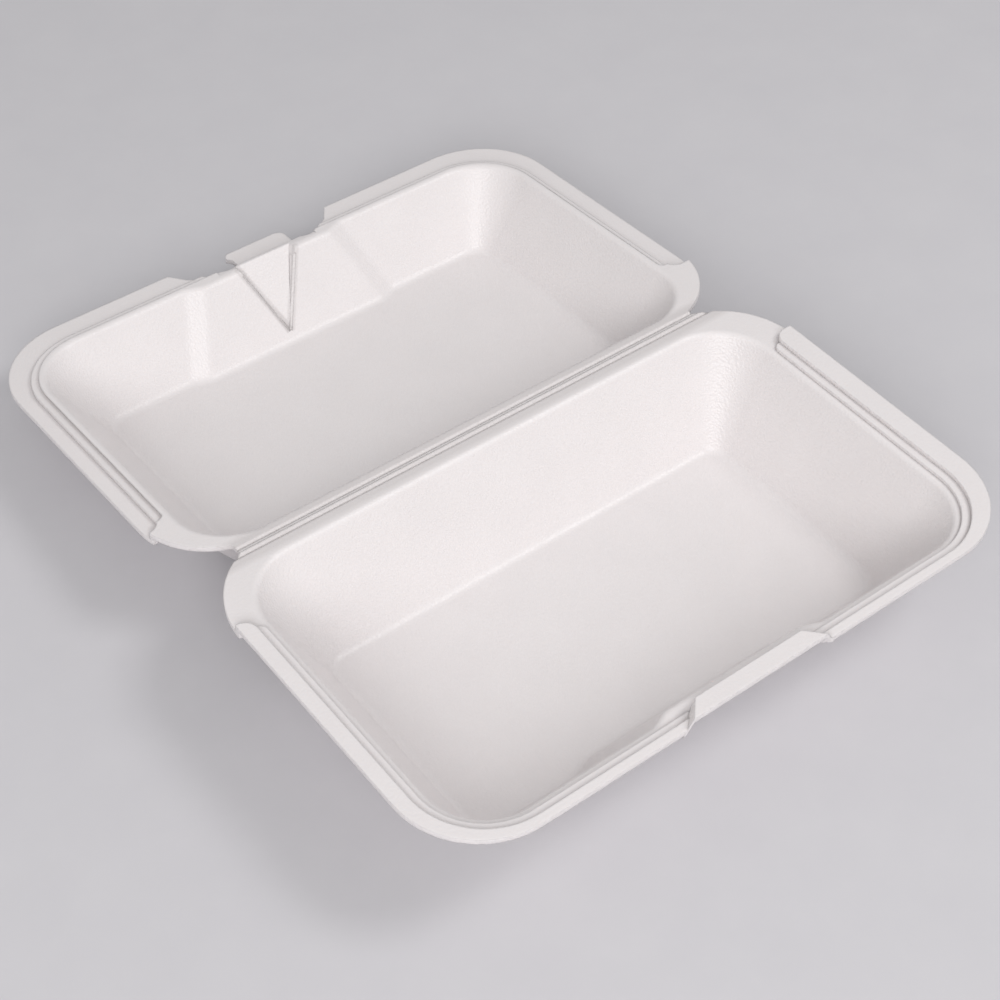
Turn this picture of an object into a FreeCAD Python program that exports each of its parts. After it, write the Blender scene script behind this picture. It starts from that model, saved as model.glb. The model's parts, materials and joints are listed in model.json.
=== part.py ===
import FreeCAD, Part
import math
import os

# Foam clamshell container: a tray, a shallower lid and the living hinge between them.
# Millimetres, +Z up. X runs along the hinge, +Y from the tray's front to the hinge.
# The origin is on the table, under the middle of the tray's mouth. The lid lies open, its far end on the table.
# Each half is drawn in a frame of its own: v is the distance from the hinge line, z is 0 at the mouth's rim.

# Sheet
SHEET = 2.0                 # foam thickness of rim, floor and hinge strip
WALL = 2.3                  # side walls, measured level
STEP_WALL = 1.6             # foam beside a step of the rim, measured level

# Mouths, where rim and walls would meet without their rounding
TRAY_HALF_X = 106.4
TRAY_NEAR = 8.0
TRAY_FAR = 134.4
LID_HALF_X = 105.9
LID_NEAR = 5.8
LID_FAR = 133.5
MOUTH_CORNER = 22.0
LIP_ROUND = 2.4

# Tubs
TRAY_DEPTH = 38.0
TRAY_SIDE_RUN = 20.4        # how far a side wall leans in
TRAY_END_RUN = 20.7         # how far the front and hinge walls lean in
LID_DEPTH = 28.8
LID_SIDE_RUN = 19.5
LID_END_RUN = 16.5
FLOOR_CORNER = 7.5
FLOOR_ROUND = 4.0           # inside round between floor and walls

# Front panel of each half, set inward between two slanted shoulders
PANEL_INSET = 3.0
PANEL_TOP = 27.8
PANEL_FLOOR = 39.8
SHOULDER = 7.2
SHOULDER_ROUND = 6.0
TRAY_PANEL_SHIFT = -1.7     # the panels sit a little left of the middle
LID_PANEL_SHIFT = -3.2

# Trimmed edge: each half is cut to a rounded rectangle, a little off the moulded shape
SIDE_FLANGE = 11.6          # tray's mouth to the trimmed sides
TRAY_FLANGE = 8.1           # tray's mouth to its trimmed front edge
LID_FLANGE = 15.6           # lid's mouth to its trimmed front edge
TRIM_SHIFT_X = 1.5
TRIM_MEET = 2.0             # the two cut shapes meet here, on the lid's side of the hinge line
TRIM_CORNER = 31.0
WEB_INSET = 20.3            # trimmed side to the end notches of the hinge strip
NOTCH_ROUND = 1.2

# Rim steps: the tray's flange stands up, the lid's hangs down by as much
LEDGE_STEP = 1.2
FLANGE_STEP = 2.8
LEDGE_OFFSET = 1.9          # tray's mouth to the first step
FLANGE_OFFSET = 4.9         # tray's mouth to the second step
STEP_START = 27.3           # the flange's step begins this far from the hinge line
STEP_BEND = 5.0
LEDGE_START = 30.5
LEDGE_BEND = 3.0
NEST = 0.5                  # the lid's step stands clear of the tray's by this

# Hinge
HINGE_LIFT = 0.15           # pivot above the rim, which keeps the closed rims just apart
CREASE_AT = 1.6             # each crease, from the hinge line
CREASE_HALF = 0.9
CREASE_DEEP = 0.8
TABLE_GAP = 0.05            # under the lid's far edge

# Latch bridge of the tray, open toward the inside and at the cut edge
LATCH_SHIFT = -1.0          # bridge and gap are this far left of the middle
BRIDGE_RISE = 3.5           # above the flange
BRIDGE_OUTER = 27.6         # half length of its top at the cut edge
BRIDGE_INNER = 21.8         # half length of its top at the inner edge
BRIDGE_LEAN = 4.0           # its ends lean out by this down to the mouth's level, half as much at the inner edge
BRIDGE_WALL = 1.8
BRIDGE_SILL = 0.6           # rim left standing out beyond the bridge's inner edge

# Latch tab of the lid, in a gap of the lid's front flange
LATCH_CLEAR = 0.3           # tab over bridge when the lid is closed
GAP_CLEAR = 0.5             # gap beside the bridge when the lid is closed
GAP_FLARE = 4.6             # the gap widens by this from the tray's edge to the lid's edge
GAP_FALL = 0.6              # the rim falls by this to its cut edge in the gap
GAP_SHEET = 3.6             # foam thickness of the rim behind the gap
SCALLOP_LEFT = -17.5
SCALLOP_RIGHT = 18.6
SCALLOP_ROUND = 6.0
SCALLOP_DEEP = 1.3
TAB_LEFT = -9.8
TAB_RIGHT = 15.4
TAB_REACH = 2.7             # past the lid's trimmed edge
TAB_ROUND = 3.5
TAB_NIB = 1.6               # the nib at the tab's left corner
TAB_NIB_LONG = 2.4

# Flex facet in the lid's front panel under the tab
FACET_LEFT = -15.5
FACET_RIGHT = 9.2
FACET_FOOT_X = -5.0
FACET_FOOT = 24.9           # depth of its lower point below the rim
FACET_OUT = 4.0             # how far its top leans outward
CREASE_LINE = 1.6
CREASE_LINE_DEEP = 0.8
CREASE_STOP = 1.8           # its upper end, below the rim
LAP = 0.3                   # the facet's foam reaches this far into the panel's
RUN_OUT = 1.1               # the facet's cut goes past the lip by this ratio

TRIM_HALF_X = TRAY_HALF_X + SIDE_FLANGE
TRAY_EDGE = TRAY_FAR + TRAY_FLANGE
LID_EDGE = LID_FAR + LID_FLANGE
TAB_END = LID_EDGE + TAB_REACH
WEB_HALF = TRIM_HALF_X - WEB_INSET
GAP_RIM_HALF = PANEL_TOP - SHOULDER_ROUND
RIM_Z = TRAY_DEPTH + SHEET
HINGE_Y = (TRAY_NEAR + TRAY_FAR) / 2
BRIDGE_TOP = FLANGE_STEP + BRIDGE_RISE
WIDE = 200.0                # reach of cutters past the part
NEAR_END = -30.0


def vec(x, v, z=0.0):
    return FreeCAD.Vector(x, v, z)


def corner_points(before, corner, after):
    """Start, middle and end of the arc that rounds one (x, v, radius) corner."""
    here = vec(corner[0], corner[1])
    back = vec(before[0], before[1]).sub(here).normalize()
    ahead = vec(after[0], after[1]).sub(here).normalize()
    half = back.getAngle(ahead) / 2
    reach = corner[2] / math.tan(half)
    inward = back.add(ahead).normalize()
    return (here.add(back * reach), here.add(inward * (corner[2] / math.sin(half) - corner[2])),
            here.add(ahead * reach))


def rounded_polygon(corners, z):
    """Closed wire through (x, v, radius) corners."""
    count = len(corners)
    stops = []
    for i in range(count):
        if corners[i][2] > 0:
            stops.append(corner_points(corners[i - 1], corners[i], corners[(i + 1) % count]))
        else:
            stops.append((vec(corners[i][0], corners[i][1]),) * 3)
    edges = []
    for i in range(count):
        start, middle, end = stops[i]
        if corners[i][2] > 0:
            edges.append(Part.Arc(start, middle, end).toShape())
        following = stops[(i + 1) % count][0]
        if end.distanceToPoint(following) > 1e-6:
            edges.append(Part.makeLine(end, following))
    wire = Part.Wire(edges)
    wire.translate(vec(0, 0, z))
    return wire


def mirrored(right):
    """Both sides of an outline, given its right side from the hinge outward."""
    return right + [(-x, v, radius) for x, v, radius in reversed(right)]


def prism(wire, height):
    return Part.Face(wire).extrude(vec(0, 0, height))


def slab(corners, bottom, top):
    return prism(rounded_polygon(corners, bottom), top - bottom)


def fuse_all(shapes):
    return shapes[0].fuse(shapes[1:]).removeSplitter()


class Tub:
    """Mouth and walls of one half."""

    def __init__(self, half_x, near, far, depth, side_run, end_run, panel_shift):
        self.panel_shift = panel_shift
        self.half_x = half_x
        self.near = near
        self.far = far
        self.depth = depth
        self.side_run = side_run
        self.end_run = end_run

    def wall_v(self, z):
        """The front wall's inside at a height, beside the panel."""
        return self.far + self.end_run * z / self.depth

    def outline(self, z, grow=0.0):
        """The hollow's outline at a height, or one grown outward."""
        share = -z / self.depth
        side = self.half_x - self.side_run * share + grow
        near = self.near + self.end_run * share - grow
        far = self.far - self.end_run * share + grow
        corner = MOUTH_CORNER + (FLOOR_CORNER - MOUTH_CORNER) * share + grow
        panel = PANEL_TOP + (PANEL_FLOOR - PANEL_TOP) * share
        corners = mirrored([(side, near, corner), (side, far, corner)])
        front = mirrored([(panel + SHOULDER, far, SHOULDER_ROUND), (panel, far - PANEL_INSET, SHOULDER_ROUND)])
        shifted = [(x + self.panel_shift, v, radius) for x, v, radius in front]
        return rounded_polygon(corners[:2] + shifted + corners[2:], z)

    def loft(self, bottom, top, grow):
        return Part.makeLoft([self.outline(bottom, grow), self.outline(top, grow)], True, True)

    def shell(self):
        outside = self.loft(-self.depth - SHEET, 0.0, WALL)
        outside = round_along(outside, self.outline(-self.depth - SHEET, WALL), FLOOR_ROUND + SHEET)
        inside = self.loft(-self.depth, 0.0, 0.0)
        inside = round_along(inside, self.outline(-self.depth), FLOOR_ROUND)
        return outside.cut(inside)

    def mouth(self, bottom, top):
        return prism(self.outline(0.0), top).fuse(self.loft(bottom, 0.0, 0.0))


def round_along(body, wire, radius):
    """Round the edges of a body that lie on a wire."""
    chosen = []
    for edge in body.Edges:
        stops = [edge.valueAt(edge.FirstParameter + (edge.LastParameter - edge.FirstParameter) * share)
                 for share in (0.0, 0.37, 1.0)]
        if max(wire.distToShape(Part.Vertex(stop))[0] for stop in stops) < 1e-4:
            chosen.append(edge)
    return body.makeFillet(radius, chosen)


TRAY = Tub(TRAY_HALF_X, TRAY_NEAR, TRAY_FAR, TRAY_DEPTH, TRAY_SIDE_RUN, TRAY_END_RUN, TRAY_PANEL_SHIFT)
LID = Tub(LID_HALF_X, LID_NEAR, LID_FAR, LID_DEPTH, LID_SIDE_RUN, LID_END_RUN, LID_PANEL_SHIFT)


def within_step(offset, start, bend):
    """Outline of all that lies inside a step of the rim, with the hinge side."""
    side = TRAY_HALF_X + offset
    return mirrored([(WIDE, NEAR_END, 0), (WIDE, start, 0), (side, start, bend),
                     (side, TRAY_FAR + offset, MOUTH_CORNER + offset)])


def trim(meet, far_edge):
    """All that lies inside the trimmed edge of one half, with the hinge strip between its end notches."""
    left = TRIM_SHIFT_X - TRIM_HALF_X
    right = TRIM_SHIFT_X + TRIM_HALF_X
    outlines = [[(right, near, TRIM_CORNER), (right, far, TRIM_CORNER), (left, far, TRIM_CORNER),
                 (left, near, TRIM_CORNER)] for near, far in ((meet, far_edge), (meet - far_edge, meet))]
    outlines.append(mirrored([(WEB_HALF, meet - TRIM_CORNER / 4, 0), (WEB_HALF, meet + TRIM_CORNER / 4, 0)]))
    whole = fuse_all([slab(outline, -WIDE, WIDE) for outline in outlines])
    notches = [upright for upright in whole.Edges if abs(upright.Length - 2 * WIDE) < 1e-6
               and abs(abs(upright.CenterOfMass.x) - WEB_HALF) < 1e-3]
    whole = whole.makeFillet(NOTCH_ROUND, notches)
    return whole.common(Part.makeBox(2 * WIDE, WIDE, 2 * WIDE, vec(-WIDE, 0, -WIDE)))


def sheet(level):
    """Wide flat foam with its top at a level."""
    return Part.makeBox(2 * WIDE, 2 * WIDE, SHEET, vec(-WIDE, NEAR_END, level - SHEET))


def between(inside, outside, levels):
    """Upright foam between two step outlines, joining two levels."""
    low = min(levels) - SHEET
    band = Part.makeBox(2 * WIDE, 2 * WIDE, max(levels) - low, vec(-WIDE, NEAR_END, low))
    return band.common(outside).cut(inside)


def rim(direction, ease):
    """Rim with two steps, up (1) or down (-1) toward the outside, each moved inward by an ease."""
    levels = (0.0, direction * LEDGE_STEP, direction * FLANGE_STEP)
    regions = []
    for offset, start, bend in ((LEDGE_OFFSET, LEDGE_START, LEDGE_BEND), (FLANGE_OFFSET, STEP_START, STEP_BEND)):
        lines = [slab(within_step(offset - ease + shift, start - ease + shift, bend), -WIDE, WIDE)
                 for shift in (0.0, direction * STEP_WALL)]
        regions.append(lines)
    ledge = regions[0][0]
    flange = regions[1][0]
    sheets = [sheet(levels[0]).common(ledge).common(flange), sheet(levels[1]).common(flange).cut(ledge),
              sheet(levels[2]).cut(flange)]
    inner, outer = sorted((0, 1), key=lambda i: direction * i)
    first = between(regions[0][inner], regions[0][outer], levels[:2]).common(flange)
    second = between(regions[1][inner], regions[1][outer], levels[1:]).cut(ledge)
    corner = between(regions[1][inner], regions[1][outer], (levels[0], levels[2])).common(ledge)
    return fuse_all(sheets + [first, second, corner])


def crease(body):
    """Fold line beside the hinge."""
    groove = Part.makePolygon([vec(-WIDE, CREASE_AT - CREASE_HALF, 0), vec(-WIDE, CREASE_AT, -CREASE_DEEP),
                               vec(-WIDE, CREASE_AT + CREASE_HALF, 0), vec(-WIDE, CREASE_AT, CREASE_DEEP),
                               vec(-WIDE, CREASE_AT - CREASE_HALF, 0)])
    return body.cut(Part.Face(groove).extrude(vec(2 * WIDE, 0, 0)))


def bridge_half(v, z):
    """Half length of the latch bridge at a distance from the hinge line and a height."""
    share = (v - TRAY_FAR - LEDGE_OFFSET) / (TRAY_EDGE - TRAY_FAR - LEDGE_OFFSET)
    top = BRIDGE_INNER + (BRIDGE_OUTER - BRIDGE_INNER) * share
    return top + BRIDGE_LEAN * (1 + share) / 2 * (BRIDGE_TOP - z) / BRIDGE_TOP


def bridge_block(shrink, bottom, top):
    """Raised block of the latch bridge, or with a shrink the space under it."""
    inner = TRAY_FAR + LEDGE_OFFSET
    outer = TRAY_EDGE + WALL
    outlines = []
    for z in (bottom, top):
        right = [(bridge_half(v, z) - shrink, v if v > inner else v - shrink, 0) for v in (inner, outer)]
        outlines.append(rounded_polygon([(x + LATCH_SHIFT, v, radius) for x, v, radius in mirrored(right)], z))
    return Part.makeLoft(outlines, True, True)


def latch_bridge(body):
    """Replace the flange by the bridge, with a slot beneath it toward the inside."""
    body = body.fuse(bridge_block(0.0, 0.0, BRIDGE_TOP))
    under = bridge_block(BRIDGE_WALL, -SHEET - STEP_WALL, BRIDGE_TOP - SHEET)
    slot_line = TRAY_FAR + LEDGE_OFFSET + BRIDGE_SILL
    sill = Part.makeBox(2 * WIDE, slot_line, SHEET + WIDE, vec(-WIDE, 0, -SHEET - WIDE))
    return body.cut(under.cut(sill))


def tray_half():
    body = rim(1, 0.0).cut(TRAY.mouth(-TRAY_DEPTH, WIDE))
    body = body.fuse(TRAY.shell()).removeSplitter()
    body = round_along(body, TRAY.outline(0.0), LIP_ROUND)
    body = latch_bridge(body)
    return crease(body.common(trim(-TRIM_MEET, TRAY_EDGE))).removeSplitter()


def gap_outline():
    """The gap that is cut in the lid's front flange, clear of the bridge of the closed tray."""
    right = []
    for v in (TRAY_FAR + LEDGE_OFFSET - NEST, TRAY_EDGE):
        right.append((bridge_half(v, LEDGE_STEP) + GAP_CLEAR, v, 0))
    right.append((right[-1][0] + GAP_FLARE, LID_EDGE, 0))
    right.append((right[-1][0], WIDE, 0))
    return [(x + LATCH_SHIFT, v, radius) for x, v, radius in mirrored(right)]


def gap_rim():
    """Thicker rim behind the gap."""
    lip = LID_FAR - PANEL_INSET
    reach = TRAY_FAR + LEDGE_OFFSET - NEST - lip
    return Part.makeBox(2 * GAP_RIM_HALF, reach, GAP_SHEET, vec(LATCH_SHIFT - GAP_RIM_HALF, lip, -GAP_SHEET))


def latch_gap(body):
    """Cut the flange away and let the rim fall to its cut edge."""
    edge = TRAY_FAR + LEDGE_OFFSET - NEST
    half = GAP_RIM_HALF
    fall = [vec(LATCH_SHIFT - half, LID_FAR - PANEL_INSET + LIP_ROUND, 0),
            vec(LATCH_SHIFT - half, edge, -GAP_FALL), vec(LATCH_SHIFT - half, edge, WALL)]
    fall = Part.Face(Part.makePolygon(fall + fall[:1])).extrude(vec(2 * half, 0, 0))
    scallops = [Part.makeCylinder(SCALLOP_ROUND, WIDE, vec(x, edge + SCALLOP_ROUND - SCALLOP_DEEP, -WIDE / 2))
                for x in (SCALLOP_LEFT, SCALLOP_RIGHT)]
    return body.cut([slab(gap_outline(), -WIDE, WIDE), fall] + scallops)


def latch_tab(body):
    """Tongue that lies over the tray's bridge when the lid is closed."""
    top = -BRIDGE_TOP - LATCH_CLEAR
    edge = TRAY_FAR + LEDGE_OFFSET - NEST
    near = edge - STEP_WALL
    outline = [(TAB_RIGHT, near, 0), (TAB_RIGHT, TAB_END, TAB_ROUND), (TAB_LEFT, TAB_END, TAB_ROUND / 2),
               (TAB_LEFT - TAB_NIB, TAB_END - TAB_NIB_LONG, TAB_NIB / 2),
               (TAB_LEFT, TAB_END - 2 * TAB_NIB_LONG, TAB_NIB / 2), (TAB_LEFT, near, 0)]
    riser = Part.makeBox(TAB_RIGHT - TAB_LEFT, STEP_WALL, -top - GAP_FALL, vec(TAB_LEFT, near, top))
    return body.fuse([slab(outline, top - SHEET, top), riser])


def facet_corners(grow):
    """Foot and upper corners of the facet where it leaves the front panel, or the same moved outward."""
    top_v = LID.wall_v(0.0) - PANEL_INSET + grow
    foot = vec(FACET_FOOT_X, LID.wall_v(-FACET_FOOT) - PANEL_INSET + grow, -FACET_FOOT)
    return foot, vec(FACET_LEFT, top_v), vec(FACET_RIGHT, top_v)


def facet_solid(grow, back, rise):
    """Wedge outside the front panel, up to the facet's plane. It reaches inward and upward for clean cuts."""
    foot, left, right = facet_corners(grow)
    inward = vec(0, -back)
    outer = [foot] + [foot.add(top.add(vec(0, FACET_OUT)).sub(foot) * rise) for top in (left, right)]
    inner = [foot.add(inward)] + [foot.add(top.sub(foot) * rise).add(inward) for top in (left, right)]
    faces = [outer, inner]
    for i in range(3):
        after = (i + 1) % 3
        faces.append([outer[i], outer[after], inner[after], inner[i]])
    shell = Part.makeShell([Part.Face(Part.makePolygon(face + face[:1])) for face in faces])
    return Part.makeSolid(shell)


def crease_line(top, foot):
    """Groove down one edge of the facet, from just under the lip's rounding."""
    along = top.sub(foot) * (1 - CREASE_STOP / FACET_FOOT)
    side = along.cross(vec(0, 1)).normalize()
    out = along.cross(side).normalize()
    side = side * (CREASE_LINE / 2)
    out = out * CREASE_LINE_DEEP
    diamond = [foot.sub(side), foot.add(out), foot.add(side), foot.sub(out)]
    return Part.Face(Part.makePolygon(diamond + diamond[:1])).extrude(along)


def flex_facet(body):
    """Facet that leans out under the tab, between two grooves."""
    body = body.fuse(facet_solid(WALL, LAP, 1.0)).cut(facet_solid(0.0, PANEL_INSET, RUN_OUT))
    foot, left, right = facet_corners(0.0)
    return body.cut([crease_line(left, foot), crease_line(right, foot)])


def lid_half():
    body = rim(-1, NEST).fuse(gap_rim()).cut(LID.mouth(-LID_DEPTH, WIDE))
    body = body.fuse(LID.shell()).removeSplitter()
    body = round_along(body, LID.outline(0.0), LIP_ROUND)
    body = flex_facet(body).common(trim(TRIM_MEET, LID_EDGE))
    return crease(latch_tab(latch_gap(body))).removeSplitter()


def lid_droop():
    """Angle at which the open lid's far bottom edge meets the table, in degrees."""
    bottom_round = FLOOR_ROUND + SHEET
    down = LID_DEPTH + SHEET + HINGE_LIFT - bottom_round
    lean = math.atan2(LID_END_RUN, LID_DEPTH)
    corner = LID.wall_v(-LID_DEPTH - SHEET) + WALL
    out = corner - bottom_round * math.tan((math.pi / 2 - lean) / 2)
    reach = math.hypot(out, down)
    drop = RIM_Z + HINGE_LIFT - TABLE_GAP - bottom_round
    return math.degrees(math.asin(drop / reach) - math.atan2(down, out))


def place_tray():
    body = tray_half().mirror(vec(0, 0), vec(0, 1, 0))
    body.translate(vec(0, HINGE_Y, RIM_Z))
    return body


def place_lid():
    body = lid_half()
    body.translate(vec(0, HINGE_Y, RIM_Z))
    body.rotate(vec(0, HINGE_Y, RIM_Z + HINGE_LIFT), vec(1, 0, 0), -lid_droop())
    return body.common(Part.makeBox(2 * WIDE, WIDE, 2 * WIDE, vec(-WIDE, HINGE_Y, -WIDE)))


def save(shape, name):
    solid = shape.Solids[0] if len(shape.Solids) == 1 else shape
    solid.exportStep("parts/" + name + ".step")


os.makedirs("parts", exist_ok=True)
save(place_tray(), "base_tray")
save(place_lid(), "lid")
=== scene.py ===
import json
import logging
import math
from dataclasses import dataclass, field
from enum import Enum

import bmesh
import bpy
from mathutils import Matrix, Vector


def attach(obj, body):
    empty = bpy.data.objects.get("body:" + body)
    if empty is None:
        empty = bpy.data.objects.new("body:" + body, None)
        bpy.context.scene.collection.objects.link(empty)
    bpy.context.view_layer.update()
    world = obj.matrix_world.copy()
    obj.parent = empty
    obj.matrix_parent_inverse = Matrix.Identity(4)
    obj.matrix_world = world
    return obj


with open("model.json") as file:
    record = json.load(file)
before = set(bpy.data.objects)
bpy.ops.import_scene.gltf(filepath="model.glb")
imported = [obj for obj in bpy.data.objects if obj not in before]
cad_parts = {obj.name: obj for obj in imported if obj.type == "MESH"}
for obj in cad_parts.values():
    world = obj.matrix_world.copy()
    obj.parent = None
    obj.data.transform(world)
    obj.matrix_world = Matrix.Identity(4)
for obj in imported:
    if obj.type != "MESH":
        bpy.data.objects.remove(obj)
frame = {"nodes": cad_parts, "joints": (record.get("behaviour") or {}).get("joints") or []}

LOG = logging.getLogger("foam_container")
MM = 0.001
FEW_RAYS = 4


class Half(Enum):
    """The two moulded halves, by CAD node."""

    TRAY = "base_tray"
    LID = "lid"


def linear(code: str) -> tuple[float, float, float, float]:
    """Turn an sRGB hex colour into the linear RGBA that shaders take.

    Args:
        code: Six hex digits.

    Returns:
        Linear red, green, blue and an alpha of 1.
    """
    channels = [int(code[i:i + 2], 16) / 255 for i in (0, 2, 4)]
    bent = [c / 12.92 if c <= 0.04045 else ((c + 0.055) / 1.055) ** 2.4 for c in channels]
    return (bent[0], bent[1], bent[2], 1.0)


def add_node(tree: bpy.types.NodeTree, kind: str, links: dict | None = None,
             values: dict | None = None, **settings: object) -> bpy.types.Node:
    """Add a node with its settings, socket values and incoming links.

    Args:
        tree: Node tree that takes the node.
        kind: Blender's name of the node type.
        links: Output sockets by the name or number of the input they feed.
        values: Socket values by the name or number of the input.
        **settings: Properties of the node itself.

    Returns:
        The new node.
    """
    node = tree.nodes.new(kind)
    for name, value in settings.items():
        setattr(node, name, value)
    for name, value in (values or {}).items():
        node.inputs[name].default_value = value
    for name, socket in (links or {}).items():
        tree.links.new(socket, node.inputs[name])
    return node


def hinge_point() -> Vector:
    """Return the hinge's place in the row frame, in metres."""
    return Vector(frame["joints"][0]["pos_m"])


@dataclass(frozen=True)
class PaintedShadeFold:
    """A straight fold with a soft band of painted shade along it.

    The ends are metres in the row frame. The band takes its share of the painted shade tone out to half its
    width, and then fades.
    """

    foot: Vector
    top: Vector
    half_mm: float = 1.3
    fade_mm: float = 0.7
    grey: float = 0.33

    def share(self, tree: bpy.types.NodeTree, where: bpy.types.NodeSocket) -> bpy.types.NodeSocket:
        """Find how much of the painted shade tone the band takes.

        Args:
            tree: Node tree of the material.
            where: Object coordinates.

        Returns:
            The share, which ends at the fold's foot.
        """
        run = (self.top - self.foot).normalized()
        # Painted shade: a grey band along the fold line, fading out from it.
        reach = add_node(tree, "ShaderNodeVectorMath", {0: where}, {1: self.foot}, operation="SUBTRACT")
        aside = add_node(tree, "ShaderNodeVectorMath", {0: reach.outputs["Vector"]}, {1: run},
                         operation="CROSS_PRODUCT")
        apart = add_node(tree, "ShaderNodeVectorMath", {0: aside.outputs["Vector"]}, operation="LENGTH")
        band = add_node(tree, "ShaderNodeMapRange", {"Value": apart.outputs["Value"]},
                        {"From Min": self.half_mm * MM, "From Max": (self.half_mm + self.fade_mm) * MM,
                         "To Min": self.grey, "To Max": 0.0})
        along = add_node(tree, "ShaderNodeVectorMath", {0: reach.outputs["Vector"]}, {1: run},
                         operation="DOT_PRODUCT")
        above = add_node(tree, "ShaderNodeMath", {0: along.outputs["Value"]}, {1: 0.0},
                         operation="GREATER_THAN")
        ended = add_node(tree, "ShaderNodeMath", {0: band.outputs["Result"], 1: above.outputs["Value"]},
                         operation="MULTIPLY")
        return ended.outputs["Value"]


@dataclass(frozen=True)
class FoamSheet:
    """Polystyrene foam sheet, extruded and thermoformed.

    The closed skin is satin white and lets a little light through. Its edges are soft. Its cells show as a fine
    grain, drawn twice their size so that the render can hold them, and stand out more on the stretched walls.
    The foam is faintly blotchy where it thinned over the mould. Grey painted shade darkens it in hollow
    folds, found by ambient occlusion, on the hinge strip and along the given folds.
    """

    name: str = "polystyrene_foam_thermoformed"
    skin: str = "EAE5E5"
    thinned: str = "E5E0E0"
    painted_shade: str = "BDB7B6"
    fold_mm: float = 2.5
    fold_closed: float = 0.3
    fold_open: float = 0.75
    strip_half_mm: float = 4.5
    strip_fade_mm: float = 2.7
    strip_grey: float = 0.4
    cell_mm: float = 0.9
    blotch_mm: float = 18.0
    grain_height_mm: float = 0.22
    flat_grain: float = 0.3
    wall_grain: float = 1.0
    edge_round_mm: float = 0.8
    roughness: float = 0.33
    ior: float = 1.45
    glow: float = 0.15
    glow_mm: float = 2.0
    glow_tint: tuple[float, float, float] = (1.0, 0.95, 0.9)
    folds: tuple[PaintedShadeFold, ...] = ()

    def colour(self, tree: bpy.types.NodeTree, where: bpy.types.NodeSocket) -> bpy.types.NodeSocket:
        """Blend the skin's two tones in soft blotches, and paint grey shade into hollow folds, the hinge strip and
        the given folds.

        Args:
            tree: Node tree of the material.
            where: Object coordinates.

        Returns:
            The colour.
        """
        blotch = add_node(tree, "ShaderNodeTexNoise", {"Vector": where},
                          {"Scale": 1 / (self.blotch_mm * MM), "Detail": 2.0, "Roughness": 0.5})
        mix = add_node(tree, "ShaderNodeMix", {"Factor": blotch.outputs["Fac"]}, data_type="RGBA")
        mix.inputs["A"].default_value = linear(self.thinned)
        mix.inputs["B"].default_value = linear(self.skin)
        # Painted shade: ambient occlusion greys the foam in hollows and creases.
        hollow = add_node(tree, "ShaderNodeAmbientOcclusion", values={"Distance": self.fold_mm * MM},
                          samples=FEW_RAYS)
        openness = add_node(tree, "ShaderNodeMapRange", {"Value": hollow.outputs["AO"]},
                            {"From Min": self.fold_closed, "From Max": self.fold_open})
        hollow_shaded = add_node(tree, "ShaderNodeMix", {"Factor": openness.outputs["Result"],
                                                 "B": mix.outputs["Result"]}, data_type="RGBA")
        hollow_shaded.inputs["A"].default_value = linear(self.painted_shade)
        tone = hollow_shaded.outputs["Result"]
        # Painted shade bands: a grey band over the hinge strip and along each given fold.
        for share in [self.hinge_share(tree, where), *(fold.share(tree, where) for fold in self.folds)]:
            band = add_node(tree, "ShaderNodeMix", {"Factor": share, "A": tone}, data_type="RGBA")
            band.inputs["B"].default_value = linear(self.painted_shade)
            tone = band.outputs["Result"]
        return tone

    def hinge_share(self, tree: bpy.types.NodeTree, where: bpy.types.NodeSocket) -> bpy.types.NodeSocket:
        """Find how much painted shade the hinge strip takes.

        Args:
            tree: Node tree of the material.
            where: Object coordinates.

        Returns:
            The share, from the strip's middle out to the two mouths.
        """
        # Painted shade: the hinge strip's slopes face away from the light, so a grey band stands in for their
        # shade.
        along = add_node(tree, "ShaderNodeSeparateXYZ", {"Vector": where}).outputs["Y"]
        off = add_node(tree, "ShaderNodeMath", {0: along}, {1: hinge_point().y}, operation="SUBTRACT")
        apart = add_node(tree, "ShaderNodeMath", {0: off.outputs["Value"]}, operation="ABSOLUTE")
        share = add_node(tree, "ShaderNodeMapRange", {"Value": apart.outputs["Value"]},
                         {"From Min": self.strip_half_mm * MM,
                          "From Max": (self.strip_half_mm + self.strip_fade_mm) * MM,
                          "To Min": self.strip_grey, "To Max": 0.0})
        return share.outputs["Result"]

    def grain_strength(self, tree: bpy.types.NodeTree) -> bpy.types.NodeSocket:
        """Make the grain weaker on level foam than on the walls.

        Args:
            tree: Node tree of the material.

        Returns:
            The bump's strength.
        """
        normal = add_node(tree, "ShaderNodeNewGeometry").outputs["True Normal"]
        parts = add_node(tree, "ShaderNodeSeparateXYZ", {"Vector": normal})
        level = add_node(tree, "ShaderNodeMath", {0: parts.outputs["Z"]}, operation="ABSOLUTE")
        spread = add_node(tree, "ShaderNodeMapRange", {"Value": level.outputs["Value"]},
                          {"From Min": 0.0, "From Max": 1.0, "To Min": self.wall_grain,
                           "To Max": self.flat_grain})
        return spread.outputs["Result"]

    def grain(self, tree: bpy.types.NodeTree, where: bpy.types.NodeSocket) -> bpy.types.NodeSocket:
        """Raise the cells as a fine bump on softened edges.

        Args:
            tree: Node tree of the material.
            where: Object coordinates.

        Returns:
            The bumped normal.
        """
        soft = add_node(tree, "ShaderNodeBevel", values={"Radius": self.edge_round_mm * MM},
                        samples=FEW_RAYS)
        cells = add_node(tree, "ShaderNodeTexVoronoi", {"Vector": where}, {"Scale": 1 / (self.cell_mm * MM)},
                         feature="F1", distance="EUCLIDEAN")
        bump = add_node(tree, "ShaderNodeBump",
                        {"Height": cells.outputs["Distance"], "Normal": soft.outputs["Normal"],
                         "Strength": self.grain_strength(tree)},
                        {"Distance": self.grain_height_mm * MM}, invert=True)
        return bump.outputs["Normal"]

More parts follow.
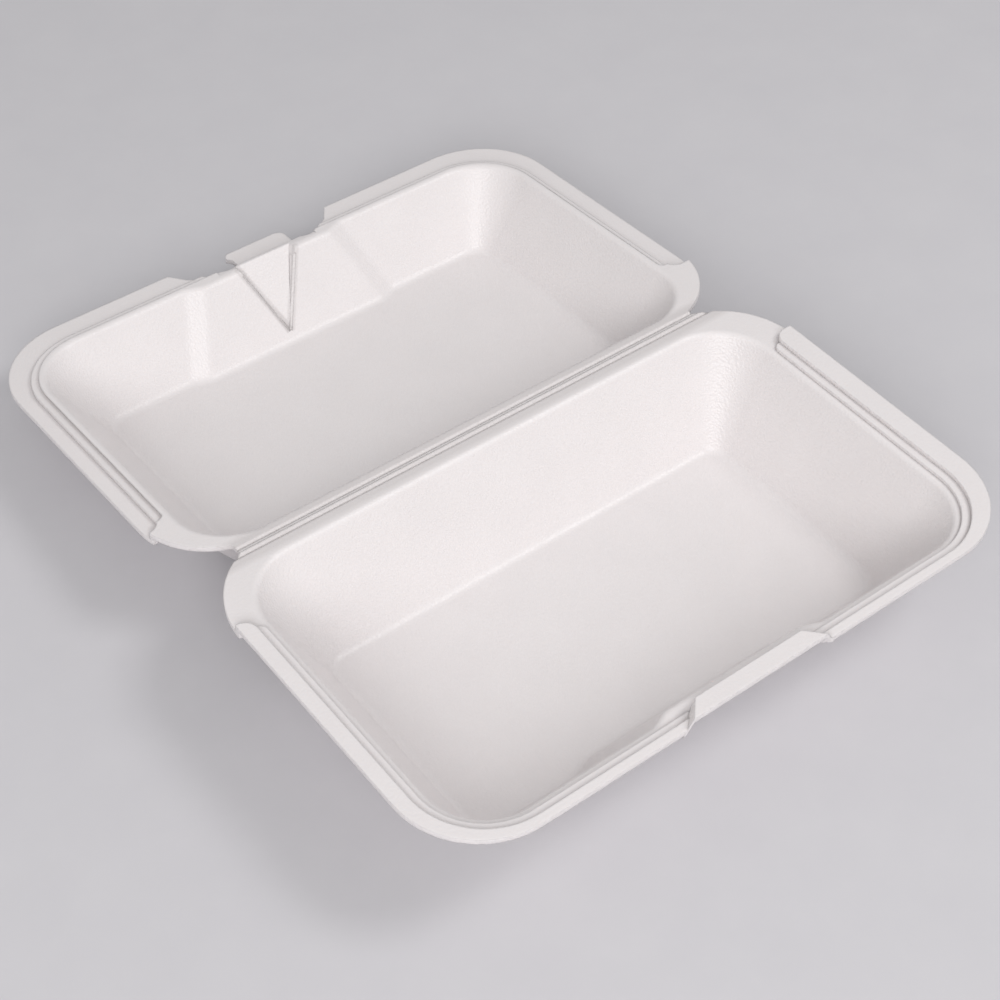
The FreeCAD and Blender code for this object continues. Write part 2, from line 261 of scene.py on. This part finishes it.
    def material(self) -> bpy.types.Material:
        """Build the foam's material.

        Returns:
            The new material.
        """
        foam = bpy.data.materials.new(self.name)
        foam.use_nodes = True
        tree = foam.node_tree
        tree.nodes.clear()
        where = add_node(tree, "ShaderNodeTexCoord").outputs["Object"]
        shader = add_node(tree, "ShaderNodeBsdfPrincipled",
                          {"Base Color": self.colour(tree, where), "Normal": self.grain(tree, where)},
                          {"Roughness": self.roughness, "IOR": self.ior, "Subsurface Weight": self.glow,
                           "Subsurface Radius": self.glow_tint, "Subsurface Scale": self.glow_mm * MM})
        add_node(tree, "ShaderNodeOutputMaterial", {"Surface": shader.outputs["BSDF"]})
        return foam


@dataclass(frozen=True)
class PaleBoard:
    """Matt painted board under the container: no gloss, faint mottling."""

    name: str = "board_matt_painted"
    light: str = "D2D0D3"
    dark: str = "CBC9CD"
    mottle_mm: float = 30.0

    def material(self) -> bpy.types.Material:
        """Build the board's material.

        Returns:
            The new material.
        """
        board = bpy.data.materials.new(self.name)
        board.use_nodes = True
        tree = board.node_tree
        tree.nodes.clear()
        where = add_node(tree, "ShaderNodeTexCoord").outputs["Object"]
        mottle = add_node(tree, "ShaderNodeTexNoise", {"Vector": where},
                          {"Scale": 1 / (self.mottle_mm * MM), "Detail": 6.0, "Roughness": 0.6})
        colour = add_node(tree, "ShaderNodeMix", {"Factor": mottle.outputs["Fac"]}, data_type="RGBA")
        colour.inputs["A"].default_value = linear(self.dark)
        colour.inputs["B"].default_value = linear(self.light)
        shader = add_node(tree, "ShaderNodeBsdfPrincipled", {"Base Color": colour.outputs["Result"]},
                          {"Roughness": 0.9, "Specular IOR Level": 0.2})
        add_node(tree, "ShaderNodeOutputMaterial", {"Surface": shader.outputs["BSDF"]})
        return board


@dataclass
class MouldedHalf:
    """One moulded half of the container. Its CAD shape stays as it is and gets its foam."""

    half: Half

    def build(self, foam: bpy.types.Material) -> bpy.types.Object:
        """Dress the half's CAD node.

        Args:
            foam: Material of the sheet.

        Returns:
            The dressed node.
        """
        node = frame["nodes"][self.half.value]
        node.data.materials.clear()
        node.data.materials.append(foam)
        return node


@dataclass
class FacetCheeks:
    """Foam at the two sides of the flex facet, where it leans out of the lid's front panel.

    Lengths are millimetres in the lid's own frame: across, away from the hinge line, and up from the rim. The
    lid lies open and droops by a small angle about the hinge, which stands a little above the rim. Each cheek is a
    thin wedge from the facet's foot up to a share of its height.
    """

    left: float = -15.5
    right: float = 9.2
    foot_across: float = -5.0
    foot_away: float = 116.235
    foot_up: float = -24.9
    rim_away: float = 130.5
    lean_out: float = 4.0
    share: float = 0.88
    foam: float = 2.3
    thickness: float = 1.3
    droop_deg: float = 4.617
    hinge_lift: float = 0.15

    def to_frame(self) -> Matrix:
        """Return the turn and shift from the lid's frame to the row frame, in metres."""
        drop = Matrix.Translation((0, 0, -self.hinge_lift * MM))
        droop = Matrix.Rotation(-math.radians(self.droop_deg), 4, "X")
        return Matrix.Translation(hinge_point()) @ droop @ drop @ Matrix.Scale(MM, 4)

    def folds(self) -> tuple[PaintedShadeFold, ...]:
        """Return the folds along the panel's edges beside the facet, and along the facet's own left edge, which
        carry painted shade bands.
        """
        place = self.to_frame()
        foot = place @ Vector((self.foot_across, self.foot_away, self.foot_up))
        tops = [(self.left, 0.0), (self.right, 0.0), (self.left, self.lean_out)]
        return tuple(PaintedShadeFold(foot, place @ Vector((corner, self.rim_away + out, 0)))
                     for corner, out in tops)

    def cheek(self, name: str, corner: float, foam: bpy.types.Material) -> bpy.types.Object:
        """Make the cheek along one edge of the facet.

        Args:
            name: Name of the piece.
            corner: Where the facet's edge meets the rim, across.
            foam: Material of the sheet.

        Returns:
            The cheek.
        """
        middle = Vector((0, self.foam / 2, 0))
        foot = Vector((self.foot_across, self.foot_away, self.foot_up)) + middle
        top = foot + (Vector((corner, self.rim_away, 0)) + middle - foot) * self.share
        out = top + Vector((0, self.lean_out * self.share, 0))
        form = bmesh.new()
        face = form.faces.new([form.verts.new(place) for place in (foot, top, out)])
        side = (top - foot).cross(Vector((0, 1, 0))).normalized()
        side = side if side.x * (corner - self.foot_across) > 0 else -side
        grown = bmesh.ops.extrude_face_region(form, geom=[face])
        moved = [item for item in grown["geom"] if isinstance(item, bmesh.types.BMVert)]
        bmesh.ops.translate(form, verts=moved, vec=side * self.thickness)
        bmesh.ops.recalc_face_normals(form, faces=form.faces)
        bmesh.ops.transform(form, matrix=self.to_frame(), verts=form.verts)
        mesh = bpy.data.meshes.new(name)
        form.to_mesh(mesh)
        form.free()
        mesh.materials.append(foam)
        piece = bpy.data.objects.new(name, mesh)
        bpy.context.scene.collection.objects.link(piece)
        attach(piece, "cover")
        return piece

    def build(self, foam: bpy.types.Material) -> list[bpy.types.Object]:
        """Make both cheeks.

        Args:
            foam: Material of the sheet.

        Returns:
            The left and the right cheek.
        """
        return [self.cheek("facet_cheek_left", self.left, foam),
                self.cheek("facet_cheek_right", self.right, foam)]


@dataclass
class PhotoCamera:
    """Camera at the photograph's viewing angle.

    Lengths are millimetres. Azimuth is turned from +Y, the target is the point that the view centres on.
    """

    azimuth: float = -38.534
    elevation: float = 46.230
    roll: float = 1.297
    distance: float = 692.28
    shift_right: float = -7.135
    shift_up: float = 27.576
    target: tuple[float, float, float] = (1.5, 73.9, 40.0)
    lens: float = 72.303
    sensor: float = 36.0

    def build(self) -> bpy.types.Object:
        """Make the camera and give it to the scene.

        Returns:
            The camera.
        """
        turn, rise, roll = (math.radians(a) for a in (self.azimuth, self.elevation, self.roll))
        back = Vector((math.sin(turn) * math.cos(rise), -math.cos(turn) * math.cos(rise), math.sin(rise)))
        level_right = Vector((0, 0, 1)).cross(back).normalized()
        level_up = back.cross(level_right)
        right = level_right * math.cos(roll) + level_up * math.sin(roll)
        up = level_up * math.cos(roll) - level_right * math.sin(roll)
        place = Vector(self.target) + back * self.distance - right * self.shift_right - up * self.shift_up
        data = bpy.data.cameras.new("photo_camera")
        data.lens = self.lens
        data.sensor_width = self.sensor
        camera = bpy.data.objects.new("photo_camera", data)
        axes = Matrix((right, up, back)).transposed().to_4x4()
        camera.matrix_world = Matrix.Translation(place * MM) @ axes
        bpy.context.scene.collection.objects.link(camera)
        bpy.context.scene.camera = camera
        return camera


@dataclass
class SoftBox:
    """One rectangular studio lamp, aimed at a point. Lengths are metres."""

    name: str
    place: tuple[float, float, float]
    aim: tuple[float, float, float]
    width: float
    height: float
    power: float

    def build(self) -> bpy.types.Object:
        """Make the lamp.

        Returns:
            The lamp.
        """
        data = bpy.data.lights.new(self.name, "AREA")
        data.shape = "RECTANGLE"
        data.size = self.width
        data.size_y = self.height
        data.energy = self.power
        lamp = bpy.data.objects.new(self.name, data)
        lamp.location = self.place
        lamp.rotation_euler = (Vector(self.aim) - Vector(self.place)).to_track_quat("-Z", "Y").to_euler()
        bpy.context.scene.collection.objects.link(lamp)
        return lamp


@dataclass
class Studio:
    """Pale floor, soft lamps and even surroundings."""

    floor_half: float = 3.0
    sky: str = "FFFFFF"
    backdrop: str = "C4C2C6"
    sky_strength: float = 0.48
    lamps: list[SoftBox] = field(default_factory=lambda: [
        SoftBox("lamp_front_left", (-0.95, -1.05, 1.0), (0.0, 0.08, 0.0), 1.3, 0.9, 17.0),
        SoftBox("lamp_right", (0.68, -0.5, 1.2), (0.0, 0.08, 0.0), 0.45, 0.45, 5.2),
    ])

    def build_floor(self) -> bpy.types.Object:
        """Make the floor, with its top at height 0.

        Returns:
            The floor.
        """
        shape = bmesh.new()
        bmesh.ops.create_grid(shape, x_segments=1, y_segments=1, size=self.floor_half)
        mesh = bpy.data.meshes.new("floor")
        shape.to_mesh(mesh)
        shape.free()
        floor = bpy.data.objects.new("floor", mesh)
        floor.data.materials.append(PaleBoard().material())
        bpy.context.scene.collection.objects.link(floor)
        return floor

    def build(self) -> None:
        """Make the floor, the lamps and the world."""
        self.build_floor()
        for lamp in self.lamps:
            lamp.build()
        self.build_world()

    def build_world(self) -> None:
        """Make the even light of the surroundings, with a pale backdrop in view and in reflections."""
        world = bpy.data.worlds.new("studio")
        bpy.context.scene.world = world
        world.use_nodes = True
        tree = world.node_tree
        tree.nodes.clear()
        light = add_node(tree, "ShaderNodeBackground",
                         values={"Color": linear(self.sky), "Strength": self.sky_strength})
        seen = add_node(tree, "ShaderNodeBackground",
                        values={"Color": linear(self.backdrop), "Strength": 1.0})
        ray = add_node(tree, "ShaderNodeLightPath").outputs
        shiny = add_node(tree, "ShaderNodeMath", {0: ray["Is Camera Ray"], 1: ray["Is Glossy Ray"]},
                         operation="MAXIMUM")
        shown = add_node(tree, "ShaderNodeMath", {0: shiny.outputs["Value"], 1: ray["Is Transmission Ray"]},
                         operation="MAXIMUM")
        either = add_node(tree, "ShaderNodeMixShader",
                          {0: shown.outputs["Value"], 1: light.outputs["Background"],
                           2: seen.outputs["Background"]})
        add_node(tree, "ShaderNodeOutputWorld", {"Surface": either.outputs["Shader"]})


def main() -> None:
    """Build the scene in order and log each piece."""
    logging.basicConfig(level=logging.INFO, format="%(message)s")
    bpy.context.scene.view_settings.view_transform = "Standard"
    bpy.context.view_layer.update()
    cheeks = FacetCheeks()
    foam = FoamSheet(folds=cheeks.folds()).material()
    for half in Half:
        piece = MouldedHalf(half).build(foam)
        LOG.info("dressed %s: %d faces", piece.name, len(piece.data.polygons))
    for piece in cheeks.build(foam):
        LOG.info("built %s: %d faces", piece.name, len(piece.data.polygons))
    Studio().build()
    LOG.info("built the studio")
    PhotoCamera().build()
    LOG.info("built the camera")


if __name__ == "__main__":
    main()
